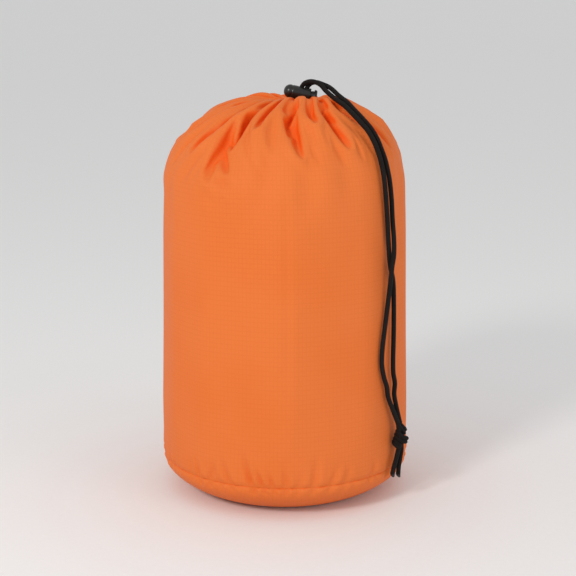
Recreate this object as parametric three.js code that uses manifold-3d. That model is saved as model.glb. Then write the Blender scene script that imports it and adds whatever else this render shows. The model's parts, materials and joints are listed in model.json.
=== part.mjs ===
// Cinched stuff sack, standing full on its round bottom panel.
// Millimetres, +Z up, front towards -Y. The origin is the centre of the resting face.
// The fabric pieces are plain shells, open at the mouth; what fills the sack is left out.

import * as THREE from 'three';
import { mergeVertices } from 'three/addons/utils/BufferGeometryUtils.js';
import Module from 'manifold-3d';

// ---------------------------------------------------------------- driving dimensions

const GAP = 0.3;              // running gap between touching pieces
const FABRIC = 1.2;           // stand-in thickness of the fabric walls

const BOTTOM_FLAT_R = 62;     // radius of the flat face the sack rests on
const SEAM_R = 95;            // radius at the bottom seam
const SEAM_Z = 25;            // height of the bottom seam
const MIDDLE_R = 92;          // radius half way up the side
const SHOULDER_R = 90.8;      // radius where the side turns into the shoulder
const SHOULDER_Z = 243;
const CREST_R = 38;           // ring where the gathers turn down into the mouth
const TOP_Z = 299.3;          // height of the flattened top
const SHOULDER_POWER_R = 3.7;
const SHOULDER_POWER_Z = 1.34;

const MOUTH_X = 9;            // the mouth is drawn a little to one side
const MOUTH_Y = 3;
const MOUTH_R = 7.5;          // radius of the hole that the cinched hem leaves
const HEM_OUTER_R = 17;
const HEM_BOTTOM_Z = 284;
const HEM_TOP_Z = 294.5;
const CHANNEL_R = 12;         // ring on which the hem's channel is centred
const CHANNEL_Z = 289;
const CHANNEL_BORE_R = 3.6;

const CORD_R = 1.75;          // 3.5 mm braided cord
const CORD_SIDES = 8;
const LOOP_R = 11.6;          // ring of the cord inside the hem

const FELL_WIDTH = 10;        // felled side seam down the back
const FELL_THICK = 0.9;
const THREAD_R = 0.3;

const LOCK_TILT = THREE.MathUtils.degToRad(12);
const LOCK_END = new THREE.Vector3(-0.7, -8, 304.8);   // tip of the lock's closed end
const LOCK_BODY_R = 5;
const LOCK_BODY_LENGTH = 19.9;
const LOCK_BORE_R = 3.8;
const LOCK_BORE_START = 1.8;
const STRAND_U = [12.2, 16];        // where the two strands cross the lock
const LOCK_SLOT = [10.1, 18.6];     // slot through the body, along its length
const LOCK_SLOT_WIDTH = 4.2;
const PLUNGER_R = 3.5;
const PLUNGER_START = 8.9;
const PLUNGER_SLOT = [10.1, 20.9];
const PLUNGER_HEAD = [22.4, 24.8];  // the head stands 2.5 mm clear of the body at rest
const PLUNGER_HEAD_R = 4.7;
const SPRING_R = 2.8;
const SPRING_WIRE_R = 0.25;
const SPRING_RANGE = [2.4, 8.3];
const SPRING_TURNS = 5;

const RING_SEGMENTS = 56;

// Route of the front strand: over the lock, down the shoulder and the side to the knot.
const STRAND_A = [
  [14.6, -9.5, 309.7], [17.3, -11.1, 310.9], [20.5, -12.2, 311.1], [23.6, -13, 310.3],
  [26.6, -14.4, 308.5], [30.2, -17.6, 304.6], [37.5, -27.5, 299],
  [42.8, -36, 295.8], [47.2, -42.7, 291.8], [53.2, -48.5, 285.8], [59.2, -51.4, 279.1],
  [63.2, -53.6, 272.3], [66.1, -55.2, 265.3], [68.3, -57, 258.4], [69.8, -58.9, 251.6],
  [71, -60.4, 244], [73.7, -57.6, 216], [74.7, -56.5, 201], [76.4, -54.4, 182],
  [78.9, -51.4, 170], [79.8, -51.1, 150], [80, -51.4, 125], [79.8, -52.7, 110],
  [80.2, -52.4, 100], [81.6, -50.4, 92], [81.1, -52.1, 84], [82.7, -50.7, 75],
  [84.5, -49.8, 67], [85.9, -50.1, 61],
];

// Route of the back strand, which crosses over the front one at the middle of the side.
const STRAND_B = [
  [17.7, -7.1, 308.2], [19.4, -6.6, 309.5], [21.7, -6.5, 310.1], [24.4, -7.6, 310],
  [27.6, -9.8, 309], [32.8, -13.2, 306.9], [40, -24, 301.2],
  [45.5, -31.5, 297.4], [49, -36.3, 293.8], [55.8, -42.6, 287], [61.9, -46.2, 280],
  [66.2, -49, 273], [69.2, -50.1, 265.7], [71.8, -52.1, 258.6], [73.5, -54.3, 251.6],
  [75, -55.3, 244], [76.7, -53.6, 230], [77.7, -53.3, 215], [78.8, -55.6, 200],
  [78.7, -58, 190], [77.6, -58.7, 182], [76.9, -58.6, 174], [76, -57.8, 164],
  [74.5, -58.2, 150], [72.6, -61, 135], [71, -63.3, 120], [70.8, -64, 110],
  [72.6, -62.4, 100], [74.9, -60, 92], [76.1, -58.9, 84], [79.2, -55.9, 75],
  [82.2, -53.9, 67], [84.4, -53.7, 61],
];

// Where the held part of the cord comes out of the lock at its two ends.
const LOOP_END_A = [[12.6, -8.1, 307.1], [13.6, -8.8, 308.6]];
const LOOP_END_B = [[17.1, -7.45, 307.4], [16.2, -7.95, 306]];

const TAIL_A = [[87.4, -50, 40.2], [86.6, -50.1, 34], [85.6, -50.3, 27], [85.2, -50.2, 19.2]];
const TAIL_B = [[84.6, -53.8, 40.2], [83.4, -54.8, 35], [81.4, -56.8, 28], [80.2, -58, 22.2]];

// Outline of the tightened knot, radius and height, turned about its upright axis.
const KNOT_CENTRE = [86.7, -51.7];
const KNOT_OUTLINE = [
  [0, 41], [3.2, 41], [4.6, 42.2], [5.1, 44], [4.8, 46], [5.3, 48.5], [5.4, 52],
  [5.1, 55.5], [4.3, 58.3], [3.6, 60], [0, 60],
];

// ---------------------------------------------------------------- shape helpers

const wasm = await Module();
wasm.setup();

const sack = new THREE.Group();
sack.name = 'stuff_sack';

function smooth(t) {
  const s = THREE.MathUtils.clamp(t, 0, 1);
  return s * s * (3 - 2 * s);
}

// Turns a closed outline of [radius, height] pairs about Z. The outline runs up the outside.
function turned(outline, segments = RING_SEGMENTS) {
  const points = outline.map(([r, z]) => new THREE.Vector2(r, z));
  return new THREE.LatheGeometry(points, segments).rotateX(Math.PI / 2);
}

function ring(radius, z, wireR, segments = RING_SEGMENTS, sides = 6) {
  const outline = [];
  for (let i = 0; i <= sides; i += 1) {
    const a = (2 * Math.PI * (i % sides)) / sides;
    outline.push([radius + wireR * Math.cos(a), z + wireR * Math.sin(a)]);
  }
  return turned(outline, segments);
}

function tube(points, radius, steps, sides = CORD_SIDES) {
  const path = new THREE.CatmullRomCurve3(points.map((p) => new THREE.Vector3(...p)));
  path.arcLengthDivisions = 40 * steps;
  const section = new THREE.Shape();
  section.absarc(0, 0, radius, 0, 2 * Math.PI, false);
  const corners = section.getPoints(sides / 2).slice(0, sides);
  return new THREE.ExtrudeGeometry(new THREE.Shape(corners), {
    steps,
    extrudePath: path,
    bevelEnabled: false,
  });
}

// A slot-shaped cutter: a stadium of the given length along X and width along Y, tall in Z.
function stadium(length, width, height) {
  const shape = new THREE.Shape();
  const straight = (length - width) / 2;
  shape.absarc(straight, 0, width / 2, -Math.PI / 2, Math.PI / 2, false);
  shape.absarc(-straight, 0, width / 2, Math.PI / 2, 1.5 * Math.PI, false);
  const geometry = new THREE.ExtrudeGeometry(shape, {
    depth: height,
    curveSegments: 8,
    bevelEnabled: false,
  });
  return geometry.translate(0, 0, -height / 2);
}

function toManifold(geometry) {
  const bare = geometry.clone();
  bare.deleteAttribute('normal');
  bare.deleteAttribute('uv');
  const merged = mergeVertices(bare, 1e-4);
  return new wasm.Manifold(new wasm.Mesh({
    numProp: 3,
    vertProperties: new Float32Array(merged.attributes.position.array),
    triVerts: new Uint32Array(merged.index.array),
  }));
}

function toGeometry(manifold) {
  const mesh = manifold.getMesh();
  const geometry = new THREE.BufferGeometry();
  geometry.setAttribute('position', new THREE.BufferAttribute(mesh.vertProperties, 3));
  geometry.setIndex(new THREE.BufferAttribute(mesh.triVerts, 1));
  geometry.computeVertexNormals();
  return geometry;
}

function cut(geometry, cutter) {
  return toGeometry(toManifold(geometry).subtract(toManifold(cutter)));
}

function add(parent, name, geometry, colour, roughness, metalness = 0) {
  const material = new THREE.MeshStandardMaterial({ color: colour, roughness, metalness });
  const mesh = new THREE.Mesh(geometry, material);
  mesh.name = name;
  parent.add(mesh);
  return mesh;
}

// ---------------------------------------------------------------- fabric walls

const ORANGE = 0xe67539;
const TAPE_ORANGE = 0xd9652c;
const THREAD_ORANGE = 0xe8702f;

function sideRadius(z) {
  const t = (z - SEAM_Z) / (SHOULDER_Z - SEAM_Z);
  const low = SEAM_R * (1 - t) * (1 - 2 * t);
  const middle = MIDDLE_R * 4 * t * (1 - t);
  const high = SHOULDER_R * t * (2 * t - 1);
  return low + middle + high;
}

function shoulderHeight(r) {
  const inward = 1 - (r / SHOULDER_R) ** SHOULDER_POWER_R;
  return SHOULDER_Z + (TOP_Z - SHOULDER_Z) * Math.max(0, inward) ** (1 / SHOULDER_POWER_Z);
}

function sideOutline() {
  const outline = [];
  for (let i = 0; i <= 6; i += 1) {
    const z = SEAM_Z + GAP + ((SHOULDER_Z - SEAM_Z - GAP) * i) / 6;
    outline.push([sideRadius(z), z]);
  }
  for (const r of [90.2, 88.4, 85.4, 81.5, 76.5, 70, 62, 52]) {
    outline.push([r, shoulderHeight(r)]);
  }
  outline.push([CREST_R, shoulderHeight(CREST_R)], [31, TOP_Z - 0.6], [27, TOP_Z - 2.2]);
  outline.push([24.2, 293.6], [22, 288.6], [20.2, 285], [18.6, HEM_BOTTOM_Z - GAP]);
  outline.push([MOUTH_R + 1, HEM_BOTTOM_Z - GAP]);
  return outline;
}

// The same outline moved inwards by the thickness, in reverse order, closes the shell.
function shell(outline, thickness) {
  const inner = outline.map(([r, z], i) => {
    const [ra, za] = outline[Math.max(0, i - 1)];
    const [rb, zb] = outline[Math.min(outline.length - 1, i + 1)];
    const length = Math.hypot(rb - ra, zb - za);
    return [r - ((zb - za) / length) * thickness, z + ((rb - ra) / length) * thickness];
  });
  return [...outline, ...inner.reverse(), outline[0]];
}

// Draws the top over towards the mouth: full shift at the crest, none on the side.
function leanToMouth(geometry) {
  const position = geometry.attributes.position;
  for (let i = 0; i < position.count; i += 1) {
    const x = position.getX(i);
    const y = position.getY(i);
    const share = smooth((80 - Math.hypot(x, y)) / 52) * (position.getZ(i) > SHOULDER_Z ? 1 : 0);
    position.setXY(i, x + MOUTH_X * share, y + MOUTH_Y * share);
  }
  return geometry;
}

add(sack, 'side_panel', leanToMouth(turned(shell(sideOutline(), FABRIC))), ORANGE, 0.55);

// Shallow dish: a flat middle that carries the load and a round wall up to the seam.
function bottomOutline() {
  const wall = new THREE.CubicBezierCurve(
    new THREE.Vector2(BOTTOM_FLAT_R, 0),
    new THREE.Vector2(BOTTOM_FLAT_R + 7, 0),
    new THREE.Vector2(SEAM_R, SEAM_Z / 2),
    new THREE.Vector2(SEAM_R, SEAM_Z),
  );
  const outline = wall.getPoints(9).map((p) => [p.x, p.y]);
  const inner = outline.map(([r, z], i) => {
    const tangent = wall.getTangent(i / 9);
    return [r - tangent.y * FABRIC, z + tangent.x * FABRIC];
  });
  return [[0, 0], ...outline, ...inner.reverse(), [0, FABRIC]];
}

add(sack, 'bottom_panel', turned(bottomOutline()), ORANGE, 0.55);

// ---------------------------------------------------------------- seams

const BINDING_R = SEAM_R - FABRIC - 0.6;
const BINDING_OUTLINE = [
  [BINDING_R - 1.8, SEAM_Z + 1], [BINDING_R, SEAM_Z + 1], [BINDING_R, SEAM_Z + 8],
  [BINDING_R - 1.8, SEAM_Z + 8], [BINDING_R - 1.8, SEAM_Z + 1],
];
add(sack, 'bottom_seam_binding', turned(BINDING_OUTLINE), TAPE_ORANGE, 0.8);
const bindingStitchR = BINDING_R - 1.8 - GAP - THREAD_R;
add(sack, 'bottom_seam_stitching', ring(bindingStitchR, SEAM_Z + 4, THREAD_R), THREAD_ORANGE, 0.7);

const FELL_RANGE = [SEAM_Z + 1, SHOULDER_Z - 6];

// The felled seam allowance lies down the back, its outline taken from the side's own.
function backOutline(lift) {
  const outline = [];
  for (let i = 0; i <= 6; i += 1) {
    const z = FELL_RANGE[0] + ((FELL_RANGE[1] - FELL_RANGE[0]) * i) / 6;
    outline.push([sideRadius(z) + lift, z]);
  }
  return outline;
}

function fellStrip() {
  const inner = backOutline(GAP);
  const outer = backOutline(GAP + FELL_THICK);
  const shape = new THREE.Shape([...outer, ...inner.reverse()].map((p) => new THREE.Vector2(...p)));
  const strip = new THREE.ExtrudeGeometry(shape, { depth: FELL_WIDTH, bevelEnabled: false });
  const toBack = new THREE.Matrix4().makeBasis(
    new THREE.Vector3(0, 1, 0),
    new THREE.Vector3(0, 0, 1),
    new THREE.Vector3(1, 0, 0),
  );
  return strip.translate(0, 0, -FELL_WIDTH / 2).applyMatrix4(toBack);
}

add(sack, 'side_seam_fell', fellStrip(), TAPE_ORANGE, 0.6);

const threadLift = 2 * GAP + FELL_THICK + THREAD_R;
for (const [side, x] of [['left', -3.5], ['right', 3.5]]) {
  const route = backOutline(threadLift).map(([y, z]) => [x, y, z]);
  const thread = tube(route, THREAD_R, 6, 4);
  add(sack, `side_seam_stitching_${side}`, thread, THREAD_ORANGE, 0.7);
}

// ---------------------------------------------------------------- hem and its cord

function hemOutline() {
  const outline = [
    [MOUTH_R, HEM_BOTTOM_Z], [HEM_OUTER_R - 1, HEM_BOTTOM_Z], [HEM_OUTER_R, HEM_BOTTOM_Z + 1.5],
    [HEM_OUTER_R, HEM_TOP_Z - 2], [HEM_OUTER_R - 2, HEM_TOP_Z], [MOUTH_R + 1, HEM_TOP_Z],
    [MOUTH_R, HEM_TOP_Z - 1], [MOUTH_R, HEM_BOTTOM_Z],
  ];
  return outline;
}

// Both ends of the cord leave the channel through one slot, on the line of the lock's slot.
const slotU = (STRAND_U[0] + STRAND_U[1]) / 2;
const lockFrame = new THREE.Matrix4()
  .makeTranslation(LOCK_END)
  .multiply(new THREE.Matrix4().makeRotationY(LOCK_TILT));

function lockPoint(u, v) {
  return new THREE.Vector3(u, 0, v).applyMatrix4(lockFrame);
}

const hemGroup = new THREE.Group();
hemGroup.position.set(MOUTH_X, MOUTH_Y, 0);
sack.add(hemGroup);

const exitAtChannel = lockPoint(slotU, -10.8);
const exitSlot = stadium(11.4, 5.2, 12);
const channel = ring(CHANNEL_R, CHANNEL_Z, CHANNEL_BORE_R, 40, 12);
const exitInHem = exitSlot.clone().translate(
  exitAtChannel.x - MOUTH_X,
  exitAtChannel.y - MOUTH_Y,
  CHANNEL_Z + 6,
);
const hemSolid = toManifold(turned(hemOutline(), 40))
  .subtract(toManifold(channel))
  .subtract(toManifold(exitInHem));
add(hemGroup, 'drawcord_hem', toGeometry(hemSolid), ORANGE, 0.6);
add(hemGroup, 'hem_stitching', ring(HEM_OUTER_R + 0.7, HEM_BOTTOM_Z + 3, THREAD_R, 40), THREAD_ORANGE, 0.7);

const PATCH_THICK = 0.8;
const patchPlate = stadium(14.4, 8.4, PATCH_THICK);
const patch = cut(patchPlate, exitSlot);
patch.translate(exitAtChannel.x + 0.4, exitAtChannel.y, HEM_TOP_Z + GAP + PATCH_THICK / 2);
add(sack, 'cord_exit_patch', patch, TAPE_ORANGE, 0.7);

// The held part of the cord: up through the lock at both ends, once round inside the hem.
function loopRoute() {
  const [uA, uB] = STRAND_U;
  const route = LOOP_END_B.map((p) => new THREE.Vector3(...p));
  route.push(lockPoint(uB, 1.5), lockPoint(uB, -5), lockPoint(uB, -10));
  for (let degrees = -50; degrees <= 222; degrees += 17) {
    const a = THREE.MathUtils.degToRad(degrees);
    const x = MOUTH_X + LOOP_R * Math.cos(a);
    const y = MOUTH_Y + LOOP_R * Math.sin(a);
    route.push(new THREE.Vector3(x, y, CHANNEL_Z));
  }
  route.push(new THREE.Vector3(4.4, -7.4, CHANNEL_Z));
  route.push(lockPoint(uA, -10.2), lockPoint(uA, -5), lockPoint(uA, 1.5));
  route.push(...LOOP_END_A.map((p) => new THREE.Vector3(...p)));
  return route.map((p) => p.toArray());
}

const BLACK = 0x1d1512;
add(sack, 'drawcord_loop', tube(loopRoute(), CORD_R, 44), BLACK, 0.85);
add(sack, 'drawcord_strand_a', tube(STRAND_A, CORD_R, 34), BLACK, 0.85);
add(sack, 'drawcord_strand_b', tube(STRAND_B, CORD_R, 34), BLACK, 0.85);
add(sack, 'drawcord_tail_a', tube(TAIL_A, CORD_R, 3), BLACK, 0.85);
add(sack, 'drawcord_tail_b', tube(TAIL_B, CORD_R, 3), BLACK, 0.85);
const knot = turned(KNOT_OUTLINE, 20).translate(KNOT_CENTRE[0], KNOT_CENTRE[1], 0);
add(sack, 'drawcord_knot', knot, BLACK, 0.85);

// ---------------------------------------------------------------- barrel cord lock

const lock = new THREE.Group();
lock.position.copy(LOCK_END);
lock.rotation.y = LOCK_TILT;
sack.add(lock);

// Outlines here are [radius, distance along the lock]; the lathe's axis is laid along +X.
function alongLock(outline, segments = 32) {
  return turned(outline, segments).rotateY(Math.PI / 2);
}

const bodyOutline = [
  [0, 0], [2.2, 0.35], [3.8, 1.4], [4.7, 2.9], [LOCK_BODY_R, 4.6],
  [LOCK_BODY_R, LOCK_BODY_LENGTH - 0.5], [LOCK_BODY_R - 0.4, LOCK_BODY_LENGTH],
  [LOCK_BORE_R, LOCK_BODY_LENGTH], [LOCK_BORE_R, LOCK_BORE_START], [0, LOCK_BORE_START],
];
const bodySlot = stadium(LOCK_SLOT[1] - LOCK_SLOT[0], LOCK_SLOT_WIDTH, 12);
bodySlot.translate((LOCK_SLOT[0] + LOCK_SLOT[1]) / 2, 0, 0);
add(lock, 'cord_lock_body', cut(alongLock(bodyOutline), bodySlot), 0x272622, 0.45);

const plungerOutline = [
  [0, PLUNGER_START], [PLUNGER_R, PLUNGER_START], [PLUNGER_R, PLUNGER_HEAD[0]],
  [PLUNGER_HEAD_R, PLUNGER_HEAD[0]], [PLUNGER_HEAD_R, PLUNGER_HEAD[1] - 0.9],
  [PLUNGER_HEAD_R - 0.8, PLUNGER_HEAD[1] - 0.2], [2, PLUNGER_HEAD[1]], [0, PLUNGER_HEAD[1]],
];
const plungerSlot = stadium(PLUNGER_SLOT[1] - PLUNGER_SLOT[0], LOCK_SLOT_WIDTH, 12);
plungerSlot.translate((PLUNGER_SLOT[0] + PLUNGER_SLOT[1]) / 2, 0, 0);
add(lock, 'cord_lock_plunger', cut(alongLock(plungerOutline), plungerSlot), 0x272622, 0.45);

function springRoute() {
  const route = [];
  const perTurn = 10;
  for (let i = 0; i <= SPRING_TURNS * perTurn; i += 1) {
    const share = i / (SPRING_TURNS * perTurn);
    const a = 2 * Math.PI * SPRING_TURNS * share;
    const u = SPRING_RANGE[0] + (SPRING_RANGE[1] - SPRING_RANGE[0]) * share;
    route.push([u, SPRING_R * Math.cos(a), SPRING_R * Math.sin(a)]);
  }
  return route;
}

add(lock, 'cord_lock_spring', tube(springRoute(), SPRING_WIRE_R, 60, 4), 0x9a9a98, 0.35, 0.9);

export default sack;
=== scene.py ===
import json
import math

import bpy
import numpy as np
from mathutils import Matrix, Vector


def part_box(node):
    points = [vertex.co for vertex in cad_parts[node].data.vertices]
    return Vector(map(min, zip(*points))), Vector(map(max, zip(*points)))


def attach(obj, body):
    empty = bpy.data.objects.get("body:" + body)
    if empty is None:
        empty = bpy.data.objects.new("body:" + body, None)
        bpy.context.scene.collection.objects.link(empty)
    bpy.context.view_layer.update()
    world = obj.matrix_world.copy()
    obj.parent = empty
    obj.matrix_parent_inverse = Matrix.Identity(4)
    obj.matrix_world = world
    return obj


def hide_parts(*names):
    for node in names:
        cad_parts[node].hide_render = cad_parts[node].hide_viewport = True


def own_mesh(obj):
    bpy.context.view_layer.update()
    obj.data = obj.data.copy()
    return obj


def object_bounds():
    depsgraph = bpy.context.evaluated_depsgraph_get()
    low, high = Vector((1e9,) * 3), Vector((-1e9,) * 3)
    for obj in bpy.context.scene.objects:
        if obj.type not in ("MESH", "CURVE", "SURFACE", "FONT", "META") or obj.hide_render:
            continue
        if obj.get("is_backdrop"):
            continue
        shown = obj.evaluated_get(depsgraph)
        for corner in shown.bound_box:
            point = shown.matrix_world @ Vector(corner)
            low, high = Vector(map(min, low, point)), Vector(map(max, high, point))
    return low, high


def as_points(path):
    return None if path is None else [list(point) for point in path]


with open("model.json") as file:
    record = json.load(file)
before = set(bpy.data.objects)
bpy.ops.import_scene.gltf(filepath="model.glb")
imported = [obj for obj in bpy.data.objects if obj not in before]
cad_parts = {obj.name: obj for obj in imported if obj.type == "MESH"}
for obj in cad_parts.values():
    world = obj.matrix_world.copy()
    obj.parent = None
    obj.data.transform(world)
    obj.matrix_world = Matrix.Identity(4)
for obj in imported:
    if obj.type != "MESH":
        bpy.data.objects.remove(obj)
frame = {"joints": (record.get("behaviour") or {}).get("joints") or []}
CAD_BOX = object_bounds()
MM = 0.001
TURN = 2 * math.pi

# ---- dimensions

bottom_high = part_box("bottom_panel")[1]
side_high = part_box("side_panel")[1]
hem_low, hem_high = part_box("drawcord_hem")
fell_low, fell_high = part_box("side_seam_fell")
binding_low, binding_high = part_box("bottom_seam_binding")
patch_low, patch_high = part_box("cord_exit_patch")

SEAM_R = bottom_high.x  # radius and height of the bottom seam
SEAM_Z = bottom_high.z
MIDDLE_R = 0.092  # half way up the side
SHOULDER_R = 0.0908  # where the side turns into the shoulder
SHOULDER_Z = 0.243
TOP_Z = side_high.z
CREST_R = 0.038  # ring where the gathers turn down into the mouth
SHOULDER_POWER_R = 3.7
SHOULDER_POWER_Z = 1.34
BOTTOM_FLAT_R = 0.062

MOUTH = (hem_low + hem_high) / 2  # centre of the gathered hem
MOUTH.z = 0.289
NECK_R = 0.0115  # ring on which the panel is gathered

CLOTH_R = 0.0952  # the side panel's flat width is the round of this
CLOTH_WIDTH = TURN * CLOTH_R
SIDE_LENGTH = SHOULDER_Z - SEAM_Z
BALLOON_MERIDIAN = 1.311  # equator to pole of a stuffed flat bag, in radii
CLOTH_LENGTH = SIDE_LENGTH + BALLOON_MERIDIAN * CLOTH_R - NECK_R
BOTTOM_CUT_R = 0.102  # radius of the flat disc the bottom is cut from

CORD_R = 0.00175

# ---- camera

CAMERA_PLACE = Vector((0.0023, -1.0506, 0.386))
CAMERA_TARGET = Vector((0.0023, 0.0, 0.153))
CAMERA_LENS = 87.6


def make_camera():
    data = bpy.data.cameras.new("camera")
    data.lens = CAMERA_LENS
    data.sensor_width = 36
    camera = bpy.data.objects.new("camera", data)
    camera.location = CAMERA_PLACE
    camera.rotation_euler = (CAMERA_TARGET - CAMERA_PLACE).to_track_quat("-Z", "Y").to_euler()
    bpy.context.scene.collection.objects.link(camera)
    bpy.context.scene.camera = camera


make_camera()

# ---- mesh helpers


def smooth(t):
    s = np.clip(t, 0, 1)
    return s * s * (3 - 2 * s)


def bell(away, width):
    return np.exp(-(away / width) ** 2)


def half_turn(degrees):
    """The same direction as an angle from -180 to 180 degrees."""
    return (degrees + 180) % 360 - 180


def new_piece(name, points, faces, loop_uvs=None, face_materials=None):
    mesh = bpy.data.meshes.new(name)
    mesh.from_pydata(np.asarray(points, float).tolist(), [], faces)
    if loop_uvs is not None:
        layer = mesh.uv_layers.new(name="UVMap")
        layer.data.foreach_set("uv", np.asarray(loop_uvs, float).ravel())
    if face_materials is not None:
        mesh.polygons.foreach_set("material_index", face_materials)
    mesh.polygons.foreach_set("use_smooth", [True] * len(mesh.polygons))
    mesh.update()
    piece = bpy.data.objects.new(name, mesh)
    bpy.context.scene.collection.objects.link(piece)
    return piece


def stand_for(piece, node, slot, body="sack"):
    """Puts a piece on its body in place of its CAD node."""
    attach(piece, body)
    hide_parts(node)


def distances(line):
    """How far along a line each of its points lies."""
    return np.concatenate([[0], np.cumsum(np.linalg.norm(np.diff(line, axis=0), axis=1))])


def points_at(line, at):
    along = distances(line)
    return np.stack([np.interp(at, along, column) for column in line.T], 1)


def spaced(line, step):
    """A line's points moved to equal distances of about step."""
    length = distances(line)[-1]
    count = max(3, round(length / step) + 1)
    return points_at(line, np.linspace(0, length, count))


def spline(points, step):
    """Points about step apart on the centripetal Catmull-Rom curve through the given ones."""
    p = np.asarray(points, float)
    p = np.vstack([2 * p[0] - p[1], p, 2 * p[-1] - p[-2]])
    found = []
    for a, b, c, d in zip(p, p[1:], p[2:], p[3:]):
        t0 = 0.0
        t1 = math.sqrt(np.linalg.norm(b - a))
        t2 = t1 + math.sqrt(np.linalg.norm(c - b))
        t3 = t2 + math.sqrt(np.linalg.norm(d - c))
        t = np.linspace(t1, t2, 13)[:-1, None]
        ab = (t1 - t) / (t1 - t0) * a + (t - t0) / (t1 - t0) * b
        bc = (t2 - t) / (t2 - t1) * b + (t - t1) / (t2 - t1) * c
        cd = (t3 - t) / (t3 - t2) * c + (t - t2) / (t3 - t2) * d
        abc = (t2 - t) / (t2 - t0) * ab + (t - t0) / (t2 - t0) * bc
        bcd = (t3 - t) / (t3 - t1) * bc + (t - t1) / (t3 - t1) * cd
        found.append((t2 - t) / (t2 - t1) * abc + (t - t1) / (t2 - t1) * bcd)
    return spaced(np.vstack([*found, p[-2:-1]]), step)


def frames_along(line):
    """Tangent and two cross directions at each point, carried along without twist."""
    tangent = np.gradient(line, axis=0)
    tangent /= np.linalg.norm(tangent, axis=1)[:, None]
    side = np.zeros_like(line)
    start = np.cross(tangent[0], [0.0, 0.0, 1.0])
    if np.linalg.norm(start) < 0.1:
        start = np.cross(tangent[0], [1.0, 0.0, 0.0])
    side[0] = start / np.linalg.norm(start)
    for i in range(1, len(line)):
        moved = side[i - 1] - tangent[i] * (side[i - 1] @ tangent[i])
        side[i] = moved / np.linalg.norm(moved)
    return tangent, side, np.cross(tangent, side)


def ring_faces(rings, sides, uv, closed=False, flipped=False):
    """Faces and loop UVs between rings of points, with uv(ring, side) at each corner. Closed,
    the last ring joins the first. Flipped, the faces turn their other side out."""
    faces, uvs = [], []
    for j in range(rings if closed else rings - 1):
        for i in range(sides):
            corners = [(j, i), (j, i + 1), (j + 1, i + 1), (j + 1, i)]
            if flipped:
                corners = corners[:1] + corners[:0:-1]
            faces.append(tuple(r % rings * sides + s % sides for r, s in corners))
            uvs += [uv(r, s) for r, s in corners]
    return faces, uvs


def tube_parts(line, radius, sides=16, slant=0.0):
    """Points, faces and loop UVs of a closed tube. radius is one number or one a ring, and
    slant shears the last ring along the tube."""
    tangent, side, up = frames_along(line)
    radii = np.broadcast_to(np.asarray(radius, float), (len(line),))
    along = distances(line)
    angle = TURN * np.arange(sides) / sides
    ring = np.cos(angle)[None, :, None] * side[:, None] + np.sin(angle)[None, :, None] * up[:, None]
    points = line[:, None] + ring * radii[:, None, None]
    near_end = smooth(1 - (along[-1] - along) / (3 * radii.max()))
    shear = slant * radii[:, None] * np.cos(angle)[None] * near_end[:, None]
    points = points + shear[:, :, None] * tangent[:, None]
    points = points.reshape(-1, 3)
    rings = len(line)
    faces, uvs = ring_faces(rings, sides, lambda ring, column: (column / sides, along[ring]))
    for row, turn in ((0, -1), (rings - 1, 1)):
        centre = len(points)
        points = np.vstack([points, points[row * sides:(row + 1) * sides].mean(0)])
        for i in range(sides):
            a, b = row * sides + i, row * sides + (i + 1) % sides
            faces.append((a, b, centre) if turn > 0 else (b, a, centre))
            uvs += [(0.5, along[row])] * 3
    return points, faces, uvs


def join_parts(parts):
    points, faces, uvs = [], [], []
    base = 0
    for p, f, uv in parts:
        points.append(p)
        faces += [tuple(base + i for i in face) for face in f]
        uvs += list(uv)
        base += len(p)
    return np.vstack(points), faces, uvs


def turned_parts(outline, segments):
    """A closed solid turned about +X. The outline is (distance along, radius) from axis to axis."""
    outline = np.asarray(outline, float)
    angle = TURN * np.arange(segments) / segments
    points = [(outline[0, 0], 0, 0)]
    for u, r in outline[1:-1]:
        points += [(u, r * math.cos(a), r * math.sin(a)) for a in angle]
    points.append((outline[-1, 0], 0, 0))
    last = len(points) - 1
    faces = []
    for i in range(segments):
        k = (i + 1) % segments
        faces.append((0, 1 + k, 1 + i))
        for j in range(len(outline) - 3):
            a, b = 1 + j * segments, 1 + (j + 1) * segments
            faces.append((a + i, a + k, b + k, b + i))
        end = 1 + (len(outline) - 3) * segments
        faces.append((end + i, end + k, last))
    return np.array(points), faces


# ---- the drawcord's free strands

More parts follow.
